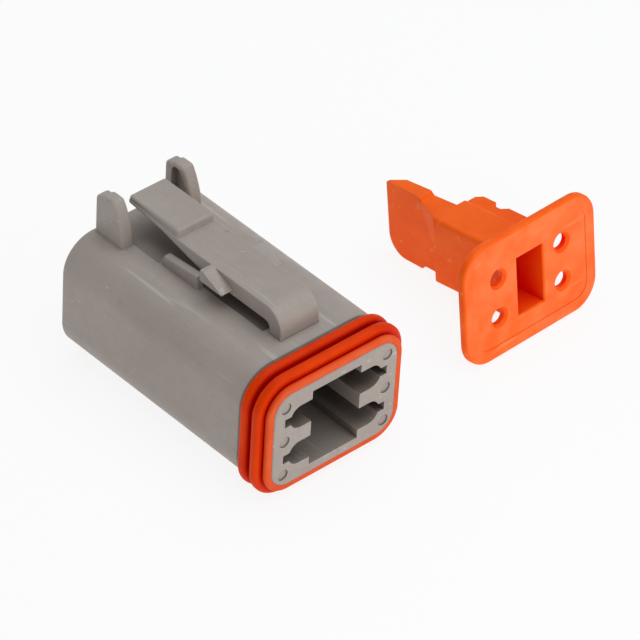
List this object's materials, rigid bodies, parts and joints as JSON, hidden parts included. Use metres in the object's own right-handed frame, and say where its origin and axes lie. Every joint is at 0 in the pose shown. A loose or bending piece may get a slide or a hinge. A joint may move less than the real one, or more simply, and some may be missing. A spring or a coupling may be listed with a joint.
{
  "type": "sealed automotive connector",
  "caption": "Sealed rectangular plug connector in grey plastic with a press latch, a ribbed silicone nose seal, a rear wire grommet and a loose orange wedge lock beside it.",
  "frame": {"origin": "centre of the plug's nose face, on its mating axis", "axes": "+X along the mating direction, out of the nose; +Z towards the latch; +Y across the plug, towards the loose wedge"},
  "size_m": [0.0397, 0.0635, 0.0247],
  "materials": {
    "housing_grey": "fine satin moulded",
    "seal_silicone": "satin silicone",
    "grommet_silicone": "satin silicone",
    "wedge_orange": "satin moulded"
  },
  "bodies": {
    "plug": {"plug_housing": "housing_grey", "interface_seal": "seal_silicone", "wire_grommet": "grommet_silicone", "wedge_lock": "wedge_orange"},
    "latch": {"latch_arm": "housing_grey"}
  },
  "joints": [
    {"name": "latch_press", "type": "hinge", "parent": "plug", "child": "latch", "pos_m": [-0.0084, 0, 0.0089], "axis": [0, -1, 0], "range_deg": [0, 5.5], "stiffness_Nm_per_rad": 0.05}
  ]
}
